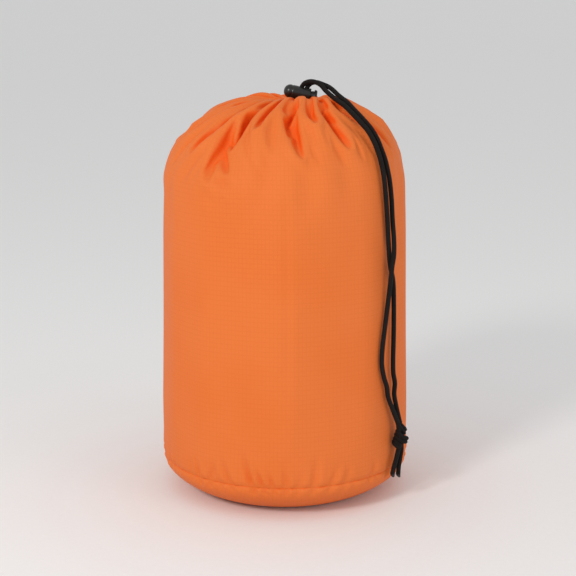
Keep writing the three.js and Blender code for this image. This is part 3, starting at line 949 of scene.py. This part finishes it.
def behind_seam(azimuth, height, depth):
    """A point inside the sack at a height above the seam and a depth behind the cloth."""
    point = on_side(azimuth, height, 0.0)
    outward = np.array([point[0], point[1], 0.0])
    return point - outward / np.linalg.norm(outward) * depth


def make_binding():
    """The tape folded over the raw edges inside the bottom seam, with its row of stitches.
    Both follow the tucks that the seam draws into the cloth."""
    half_tall = (binding_high.z - binding_low.z) / 2
    middle = (binding_high.z + binding_low.z) / 2 - SEAM_Z
    section = []
    for k in range(BINDING_SIDES):
        a = TURN * k / BINDING_SIDES
        section.append((
            BINDING_HALF * math.copysign(abs(math.cos(a)) ** 0.7, math.cos(a)),
            half_tall * math.copysign(abs(math.sin(a)) ** 0.45, math.sin(a)),
        ))
    points = []
    for i in range(BINDING_SEGMENTS):
        for dr, dz in section:
            depth = BINDING_GAP + BINDING_HALF - dr
            points.append(behind_seam(360 * i / BINDING_SEGMENTS, middle + dz, depth))
    faces, uvs = ring_faces(
        BINDING_SEGMENTS, BINDING_SIDES,
        lambda i, k: (i / BINDING_SEGMENTS * TURN * SEAM_R, k * BINDING_PITCH),
        closed=True, flipped=True,
    )
    tape = new_piece("seam_binding", points, faces, uvs)
    stand_for(tape, "bottom_seam_binding", "binding_tape")

    def row(s, lift):
        inner = BINDING_GAP + 2 * BINDING_HALF + 0.0001
        return behind_seam(math.degrees(s / SEAM_R), middle - 0.0005, inner + lift)

    thread = new_piece("binding_stitches", *stitch_parts(row, TURN * SEAM_R))
    stand_for(thread, "bottom_seam_stitching", "thread")
    return tape, thread


seam_binding, binding_thread = make_binding()

# ---- the gathered hem

HEM_RING_R = 0.0118
HEM_RUFFLES = 34
HEM_SECTION = 30  # points round the channel
HEM_ROUND = HEM_RUFFLES * 12
HEM_TUBE_R = 0.0031  # the channel between its ruffles
HEM_WRAP = 0.03  # cloth from edge to edge of the channel
HEM_ROW = math.radians(-38)  # where the stitches lie in the section


def hem_point(azimuth, around, lift=0.0):
    """The channel of cloth round the cord, bunched into ruffles like a gathered sleeve.
    Both angles are in radians. around goes round the section, 0 outward and a quarter turn up."""
    wander = 0.35 * math.sin(3 * azimuth + 0.7) + 0.22 * math.sin(7 * azimuth + 2.1)
    phase = HEM_RUFFLES * azimuth + 2.2 * wander + 0.5 * math.sin(around + 2 * azimuth)
    crest = 1 - abs(math.sin(phase / 2)) ** 0.75
    size = 0.8 + 0.2 * math.sin(5 * azimuth + 1.3) + 0.16 * math.sin(11 * azimuth)
    outward = max(0.0, math.cos(around))
    upward = max(0.0, math.sin(around))
    ruffle = (0.0012 + 0.0026 * outward ** 2 + 0.0020 * upward ** 2) * size
    radius = HEM_TUBE_R + ruffle * crest + lift
    slant = 0.06 * math.sin(phase) * (outward + upward)
    a = azimuth + slant
    r = HEM_RING_R + radius * math.cos(around)
    z = MOUTH.z + 0.0003 + radius * math.sin(around) * 1.05
    return (MOUTH.x + r * math.sin(a), MOUTH.y - r * math.cos(a), z)


def make_hem():
    points = [
        hem_point(TURN * i / HEM_ROUND, TURN * k / HEM_SECTION)
        for i in range(HEM_ROUND) for k in range(HEM_SECTION)
    ]
    faces, uvs = ring_faces(
        HEM_ROUND, HEM_SECTION,
        lambda i, k: (i / HEM_ROUND * CLOTH_WIDTH, k / HEM_SECTION * HEM_WRAP),
        closed=True, flipped=True,
    )
    hem = new_piece("hem_ruffle", points, faces, uvs)
    stand_for(hem, "drawcord_hem", "shell_fabric")
    parts = []
    for n in range(HEM_RUFFLES * 2):
        line = []
        for share in np.linspace(-0.36, 0.36, 7):
            azimuth = TURN * (n + 0.5 + share) / (HEM_RUFFLES * 2)
            lift = THREAD_R * (1.2 * math.cos(math.pi * share) - 0.75)
            line.append(hem_point(azimuth, HEM_ROW, lift))
        parts.append(tube_parts(np.array(line), THREAD_R, sides=8))
    thread = new_piece("hem_stitches", *join_parts(parts))
    stand_for(thread, "hem_stitching", "thread")
    return hem, thread


hem_ruffle, hem_thread = make_hem()
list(fell_threads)

# ---- cord lock

plunger_joint = frame["joints"][0]
LOCK_WAY = -Vector(plunger_joint["axis"]).normalized()  # from the closed end to the head
LOCK_ACROSS = Vector((0, 1, 0))
LOCK_UP = LOCK_WAY.cross(LOCK_ACROSS)
LOCK_END = Vector((-0.0007, -0.008, 0.3048))
STRAND_AT = (0.0122, 0.016)  # where the two strands cross the lock
BODY_R = 0.005
BODY_LENGTH = 0.0199
BODY_SLOT = (0.0101, 0.0186)
SLOT_WIDTH = 0.0042
BORE_R = 0.0038
BORE_START = 0.0018
PLUNGER_R = 0.0035
PLUNGER_START = 0.0089
PLUNGER_SLOT = (0.0101, 0.0209)
HEAD_SPAN = (0.0224, 0.0248)
HEAD_R = 0.0047
VOXEL = 0.00022
LOCK_SIDES = 96
SLOT_SIDES = 24
SPRING_START = 0.0024
SPRING_LENGTH = 0.0059
SPRING_R = 0.0028
WIRE_R = 0.00025

LOCK_AXES = Matrix((LOCK_WAY, LOCK_ACROSS, LOCK_UP)).transposed()
lock_matrix = Matrix.Translation(LOCK_END) @ LOCK_AXES.to_4x4()


def lock_point(u, v):
    return np.array(lock_matrix @ Vector((u, 0, v)))


def slot_cutter(span, height):
    """An upright post with round ends, as long as the slot."""
    half = SLOT_WIDTH / 2
    ring = []
    for k in range(SLOT_SIDES):
        a = TURN * (k + 0.5) / SLOT_SIDES
        end = span[1] - half if math.cos(a) > 0 else span[0] + half
        ring.append((end + half * math.cos(a), half * math.sin(a)))
    points = [(x, y, z) for z in (-height, height) for x, y in ring]
    low = list(range(SLOT_SIDES))
    following = low[1:] + low[:1]
    faces = [tuple(reversed(low)), tuple(SLOT_SIDES + k for k in low)]
    faces += [(k, n, SLOT_SIDES + n, SLOT_SIDES + k) for k, n in zip(low, following)]
    return points, faces


def apply_modifiers(piece):
    graph = bpy.context.evaluated_depsgraph_get()
    mesh = bpy.data.meshes.new_from_object(piece.evaluated_get(graph))
    piece.modifiers.clear()
    piece.data = mesh


def moulded(name, outline, slot_span):
    """A turned solid with a slot cut through, its edges rounded as a moulding's are."""
    piece = new_piece(name, *turned_parts(outline, LOCK_SIDES))
    cutter = new_piece(name + "_cutter", *slot_cutter(slot_span, 0.008))
    cut = piece.modifiers.new("slot", "BOOLEAN")
    cut.operation = "DIFFERENCE"
    cut.solver = "EXACT"
    cut.object = cutter
    remesh = piece.modifiers.new("even", "REMESH")
    remesh.mode = "VOXEL"
    remesh.voxel_size = VOXEL
    soft = piece.modifiers.new("soft", "SMOOTH")
    soft.factor = 0.5
    soft.iterations = 5
    apply_modifiers(piece)
    bpy.data.objects.remove(cutter)
    piece.data.transform(lock_matrix)
    piece.data.polygons.foreach_set("use_smooth", [True] * len(piece.data.polygons))
    return piece


def make_lock():
    dome = [(BODY_R * 0.94 * (1 - math.cos(t)), BODY_R * math.sin(t))
            for t in np.linspace(0, math.pi / 2, 14)]
    body_outline = [
        *dome, (0.0052, BODY_R), (0.0056, BODY_R * 0.95), (0.0062, BODY_R * 0.95),
        (0.0066, BODY_R), (BODY_LENGTH - 0.0004, BODY_R), (BODY_LENGTH, BODY_R - 0.0004),
        (BODY_LENGTH, BORE_R), (BORE_START, BORE_R), (BORE_START, 0),
    ]
    plunger_outline = [
        (PLUNGER_START, 0), (PLUNGER_START, PLUNGER_R), (HEAD_SPAN[0], PLUNGER_R),
        (HEAD_SPAN[0], HEAD_R), (HEAD_SPAN[1] - 0.0009, HEAD_R),
        (HEAD_SPAN[1] - 0.0002, HEAD_R - 0.0008), (HEAD_SPAN[1], 0.002), (HEAD_SPAN[1], 0),
    ]
    body = moulded("lock_barrel", body_outline, BODY_SLOT)
    plunger = moulded("lock_button", plunger_outline, PLUNGER_SLOT)
    turns, per_turn = 5, 20
    route = []
    for i in range(turns * per_turn + 1):
        a = TURN * i / per_turn
        u = SPRING_START + SPRING_LENGTH * i / (turns * per_turn)
        route.append(lock_matrix @ Vector((u, SPRING_R * math.cos(a), SPRING_R * math.sin(a))))
    spring = new_piece("lock_coil", *tube_parts(spline(route, 0.0004), WIRE_R, sides=10))
    for piece, body_name, node, slot_name in (
        (body, "sack", "cord_lock_body", "lock_plastic"),
        (plunger, "lock_plunger", "cord_lock_plunger", "lock_plastic"),
        (spring, "sack", "cord_lock_spring", "spring_steel"),
    ):
        stand_for(piece, node, slot_name, body_name)
    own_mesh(spring)
    return body, plunger, spring


lock_body, lock_plunger, lock_spring = make_lock()


LOOP_R = 0.0116  # radius of the cord's ring in the hem


def make_loop():
    """The held part of the cord: through the lock at both ends, once round inside the hem."""
    u_a, u_b = STRAND_AT
    route = [STRAND_B[1], STRAND_B[0], MM * np.array((17.1, -7.45, 307.4)),
             MM * np.array((16.2, -7.95, 306))]
    route += [lock_point(u_b, v) for v in (0.0015, -0.005, -0.010)]
    for degrees in range(-50, 223, 17):
        a = math.radians(degrees)
        route.append((MOUTH.x + LOOP_R * math.cos(a), MOUTH.y + LOOP_R * math.sin(a), MOUTH.z))
    route.append((0.0044, -0.0074, MOUTH.z))
    route += [lock_point(u_a, v) for v in (-0.0102, -0.005, 0.0015)]
    route += [MM * np.array((12.6, -8.1, 307.1)), MM * np.array((13.6, -8.8, 308.6)),
              STRAND_A[0], STRAND_A[1]]
    loop = new_piece("hem_cord", *tube_parts(spline(route, CORD_STEP), CORD_R - 0.00003))
    stand_for(loop, "drawcord_loop", "cord")
    return loop


hem_cord = make_loop()


PATCH_STEP = 0.00012  # spacing of the thread's points round the buttonhole
PATCH_SIDES = 10
PATCH_EDGE = 0.00075  # the thread's middle lies this far inside the patch's edge
PATCH_HALF_WIDE = 0.0009
PATCH_HALF_TALL = 0.0006
PATCH_BOW = 0.0006  # how far the buttonhole bows with the channel


def make_exit_patch():
    """The worked buttonhole that the cord leaves the hem through: thread wrapped round a slot."""
    middle = (patch_low + patch_high) / 2
    half_length = (patch_high.x - patch_low.x) / 2 - PATCH_EDGE
    half_width = (patch_high.y - patch_low.y) / 2 - PATCH_EDGE
    straight = half_length - half_width
    line = []
    for k in range(160):
        a = TURN * k / 160
        bow = PATCH_BOW * math.cos(2 * a)
        x = half_width * math.cos(a) + (straight if math.cos(a) > 0 else -straight)
        line.append((middle.x + x, middle.y + half_width * math.sin(a), middle.z - bow))
    line = spaced(np.array(line + line[:1]), PATCH_STEP)
    points = []
    count = len(line) - 1
    tangent = np.roll(line[:-1], -1, 0) - np.roll(line[:-1], 1, 0)
    for i in range(count):
        t = Vector(tangent[i]).normalized()
        out = t.cross(Vector((0, 0, 1))).normalized()
        thread = 1 + 0.10 * math.sin(TURN * i / 4)
        for k in range(PATCH_SIDES):
            a = TURN * k / PATCH_SIDES
            rise = Vector((0, 0, PATCH_HALF_TALL * math.sin(a) * thread))
            offset = out * (PATCH_HALF_WIDE * math.cos(a) * thread) + rise
            points.append(tuple(Vector(line[i]) + offset))
    faces, uvs = ring_faces(
        count, PATCH_SIDES, lambda i, k: (i * PATCH_STEP, k / PATCH_SIDES), closed=True,
    )
    patch = new_piece("cord_buttonhole", points, faces, uvs)
    stand_for(patch, "cord_exit_patch", "binding_tape")
    return patch


exit_patch = make_exit_patch()

# ---- materials


class Nodes:
    """A small builder for one material's node tree."""

    def __init__(self, name):
        self.material = bpy.data.materials.new(name)
        self.material.use_nodes = True
        self.tree = self.material.node_tree
        self.shader = self.tree.nodes["Principled BSDF"]

    def add(self, kind, inputs=None, **settings):
        node = self.tree.nodes.new(kind)
        for key, value in settings.items():
            setattr(node, key, value)
        for key, value in (inputs or {}).items():
            self.put(node.inputs[key], value)
        return node

    def put(self, socket, value):
        if isinstance(value, bpy.types.NodeSocket):
            self.tree.links.new(value, socket)
        else:
            socket.default_value = value

    def math(self, operation, a, b=0.0, c=0.0):
        node = self.add("ShaderNodeMath", {0: a, 1: b, 2: c}, operation=operation)
        return node.outputs[0]

    def range(self, value, low, high, to_low=0.0, to_high=1.0):
        inputs = {0: value, 1: low, 2: high, 3: to_low, 4: to_high}
        node = self.add("ShaderNodeMapRange", inputs, interpolation_type="SMOOTHSTEP")
        return node.outputs[0]

    def noise(self, vector, scale, detail=2.0):
        inputs = {"Vector": vector, "Scale": scale, "Detail": detail}
        return self.add("ShaderNodeTexNoise", inputs).outputs[0]

    def mix(self, share, a, b):
        node = self.add("ShaderNodeMix", data_type="RGBA")
        self.put(node.inputs[0], share)
        self.put(node.inputs[6], a)
        self.put(node.inputs[7], b)
        return node.outputs[2]

    def finish(self, colour, roughness, height, distance, strength, **constants):
        """Sets the shader. Each constant names one of its sockets, with _ for a space."""
        inputs = {"Height": height, "Distance": distance, "Strength": strength}
        bump = self.add("ShaderNodeBump", inputs)
        self.put(self.shader.inputs["Base Color"], colour)
        self.put(self.shader.inputs["Roughness"], roughness)
        self.put(self.shader.inputs["Normal"], bump.outputs[0])
        for key, value in constants.items():
            self.shader.inputs[key.replace("_", " ")].default_value = value
        return self.material

    def uv(self):
        where = self.add("ShaderNodeTexCoord")
        split = self.add("ShaderNodeSeparateXYZ", {0: where.outputs["UV"]})
        return split.outputs[0], split.outputs[1]

    def place(self):
        return self.add("ShaderNodeTexCoord").outputs["Object"]


FABRIC = (0.775, 0.177, 0.0365, 1)
FABRIC_DEEP = (0.62, 0.095, 0.012, 1)
FABRIC_PALE = (0.785, 0.188, 0.043, 1)
FABRIC_PAINTED_SHADE = (0.87, 0.122, 0.010, 1)  # painted shade: the colour of cloth lit by cloth, deep in a fold
RIPSTOP = (0.003, 0.0035)  # spacing of the reinforcing yarns, across and along
YARN = 0.00028
SEAM_SHADE_REACH = 0.0012  # reach of the painted shade where the seam draws the cloth in


def ripstop(name):
    """Coated nylon with a raised grid of doubled yarns over a fine plain weave."""
    n = Nodes(name)
    u, v = n.uv()
    lines = []
    for axis, spacing in zip((u, v), RIPSTOP):
        saw = n.math("FRACT", n.math("MULTIPLY", axis, 1 / spacing))
        away = n.math("ABSOLUTE", n.math("MULTIPLY_ADD", saw, 2.0, -1.0))
        lines.append(n.range(away, 0.76, 0.94))
    grid = n.math("MAXIMUM", *lines)
    waves = [n.math("SINE", n.math("MULTIPLY", axis, TURN / YARN)) for axis in (u, v)]
    weave = n.math("MULTIPLY", *waves)
    place = n.place()
    broad = n.noise(place, 14.0, 3.0)
    fine = n.noise(place, 420.0, 2.0)
    tint = n.mix(n.range(broad, 0.35, 0.65), FABRIC, FABRIC_PALE)
    colour = n.mix(n.math("MULTIPLY", grid, 0.12), tint, FABRIC_DEEP)
    # Painted shade: where ambient occlusion finds cloth folded over itself, the colour turns to the
    # deeper, more saturated fold colour
    fold_shade_ao = n.add("ShaderNodeAmbientOcclusion", {"Distance": 0.03}, samples=8, only_local=True)
    fold_shade_ao = fold_shade_ao.outputs["AO"]
    colour = n.mix(n.range(fold_shade_ao, 0.45, 0.95), FABRIC_PAINTED_SHADE, colour)
    # Painted shade: a thin line of the deep fold colour along the bottom seam, broken up by noise
    height_at = n.add("ShaderNodeSeparateXYZ", {0: place}).outputs[2]
    from_seam = n.math("ABSOLUTE", n.math("SUBTRACT", height_at, SEAM_Z))
    wander = n.math("MULTIPLY", n.noise(place, 90.0), SEAM_SHADE_REACH)
    painted_seam_shade = n.range(n.math("ADD", from_seam, wander), 0.0003, SEAM_SHADE_REACH, 0.7, 0.0)
    colour = n.mix(painted_seam_shade, colour, FABRIC_PAINTED_SHADE)
    height = n.math("ADD", n.math("MULTIPLY", grid, 0.8), n.math("MULTIPLY", weave, 0.22))
    height = n.math("ADD", height, n.math("MULTIPLY", fine, 0.35))
    rough = n.range(n.math("ADD", broad, n.math("MULTIPLY", fine, 0.3)), 0.4, 0.9, 0.50, 0.60)
    return n.finish(colour, rough, height, 0.00006, 0.8, Specular_IOR_Level=0.1)


def woven_tape(name):
    n = Nodes(name)
    u, v = n.uv()
    ribs = n.math("SINE", n.math("MULTIPLY", u, TURN / 0.0006))
    cross = n.math("SINE", n.math("MULTIPLY", v, TURN / 0.0009))
    fuzz = n.noise(n.place(), 900.0, 3.0)
    weave = n.math("ADD", n.math("MULTIPLY", ribs, cross), fuzz)
    colour = n.mix(n.range(weave, -0.6, 1.4), (0.55, 0.09, 0.015, 1), (0.78, 0.17, 0.035, 1))
    return n.finish(colour, 0.78, weave, 0.00008, 0.8, Sheen_Weight=0.2)


def sewing_thread(name):
    n = Nodes(name)
    u, v = n.uv()
    twist = n.math("ADD", n.math("MULTIPLY", u, 4 * math.pi), n.math("MULTIPLY", v, 9000))
    ply = n.math("SINE", twist)
    colour = n.mix(n.range(ply, -1, 1), (0.62, 0.11, 0.018, 1), (0.88, 0.22, 0.05, 1))
    return n.finish(colour, 0.5, ply, 0.00005, 0.7, Sheen_Weight=0.15)


def braided_cord(name):
    """Round braid: two families of yarns that cross over and under round the cord."""
    n = Nodes(name)
    u, v = n.uv()
    turn = n.math("MULTIPLY", u, TURN * 8)
    run = n.math("MULTIPLY", v, TURN / 0.0021)
    one = n.math("SINE", n.math("ADD", turn, run))
    other = n.math("SINE", n.math("SUBTRACT", turn, run))
    braid = n.math("MAXIMUM", one, other)
    fuzz = n.noise(n.place(), 1500.0, 3.0)
    height = n.math("ADD", n.math("MULTIPLY", braid, 0.8), n.math("MULTIPLY", fuzz, 0.5))
    shade = n.range(height, -0.2, 1.3)
    colour = n.mix(shade, (0.002, 0.0016, 0.0014, 1), (0.009, 0.0065, 0.0052, 1))
    return n.finish(colour, 0.8, height, 0.00018, 0.9, Specular_IOR_Level=0.25)


def sealed_cord(name):
    n = Nodes(name)
    lumps = n.noise(n.place(), 1300.0, 2.0)
    colour = n.mix(lumps, (0.008, 0.007, 0.006, 1), (0.02, 0.017, 0.015, 1))
    return n.finish(colour, n.range(lumps, 0.3, 0.7, 0.28, 0.42), lumps, 0.0002, 0.6)


def moulded_plastic(name):
    """Dark acetal with a fine spark-eroded texture, smoother in random patches."""
    n = Nodes(name)
    place = n.place()
    grain = n.noise(place, 2600.0, 3.0)
    patches = n.noise(place, 160.0, 2.0)
    colour = n.mix(patches, (0.006, 0.006, 0.0055, 1), (0.011, 0.0107, 0.0098, 1))
    rough = n.range(patches, 0.3, 0.7, 0.28, 0.38)
    return n.finish(colour, rough, grain, 0.00004, 0.5, Specular_IOR_Level=0.5)


def drawn_wire(name):
    n = Nodes(name)
    u, v = n.uv()
    stretched = n.add("ShaderNodeCombineXYZ", {0: u, 1: n.math("MULTIPLY", v, 40)})
    streak = n.noise(stretched.outputs[0], 30.0)
    colour = n.mix(streak, (0.46, 0.46, 0.46, 1), (0.62, 0.62, 0.61, 1))
    rough = n.range(streak, 0.3, 0.7, 0.25, 0.4)
    return n.finish(colour, rough, streak, 0.00002, 0.4, Metallic=1.0)


def dress(material, *pieces):
    for piece in pieces:
        piece.data.materials.clear()
        piece.data.materials.append(material)


shell_fabric = ripstop("shell_fabric")
tape = woven_tape("binding_tape")
thread = sewing_thread("thread")
cord = braided_cord("cord")
dress(shell_fabric, side_cloth, bottom_cloth, hem_ruffle, felled_seam)
dress(tape, seam_binding, exit_patch)
dress(thread, *fell_threads, binding_thread, hem_thread)
dress(moulded_plastic("lock_plastic"), lock_body, lock_plunger)
dress(drawn_wire("spring_steel"), lock_spring)
sealed = sealed_cord("sealed_cord")
for piece in [*cords, hem_cord]:
    marks = [p.material_index for p in piece.data.polygons]
    dress(cord, piece)
    piece.data.materials.append(sealed)
    piece.data.polygons.foreach_set("material_index", marks)

# ---- floor and light


FLOOR_HALF = 40.0
FLOOR_Z = -0.0004


def make_floor():
    corners = ((-1, -1), (1, -1), (1, 1), (-1, 1))
    points = [(x * FLOOR_HALF, y * FLOOR_HALF, FLOOR_Z) for x, y in corners]
    floor = new_piece("floor", points, [(0, 1, 2, 3)])
    n = Nodes("floor")
    speck = n.noise(n.place(), 300.0, 3.0)
    colour = n.mix(speck, (0.86, 0.86, 0.86, 1), (0.90, 0.90, 0.90, 1))
    dress(n.finish(colour, 0.9, speck, 0.0002, 0.2), floor)
    floor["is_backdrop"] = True


def area_light(name, place, size, power, colour=(1, 1, 1)):
    data = bpy.data.lights.new(name, "AREA")
    data.shape = "DISK"
    data.size = size
    data.energy = power
    data.color = colour
    light = bpy.data.objects.new(name, data)
    light.location = place
    aim = Vector((0, 0, 0.17)) - Vector(place)
    light.rotation_euler = aim.to_track_quat("-Z", "Y").to_euler()
    bpy.context.scene.collection.objects.link(light)


def make_light():
    world = bpy.data.worlds.new("studio")
    world.use_nodes = True
    world.node_tree.nodes["Background"].inputs[0].default_value = (1, 1, 1, 1)
    world.node_tree.nodes["Background"].inputs[1].default_value = 0.69
    bpy.context.scene.world = world
    area_light("key", (-0.82, -1.2, 1.0), 0.35, 9.8, (1.0, 0.98, 0.95))
    area_light("fill", (1.1, -0.9, 0.5), 0.8, 2.4)


make_floor()
make_light()
bpy.context.scene.view_settings.view_transform = "Standard"


def plain(corners):
    return [[round(x, 6) for x in corner] for corner in corners]


{"cad": plain(CAD_BOX), "visual": plain(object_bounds())}
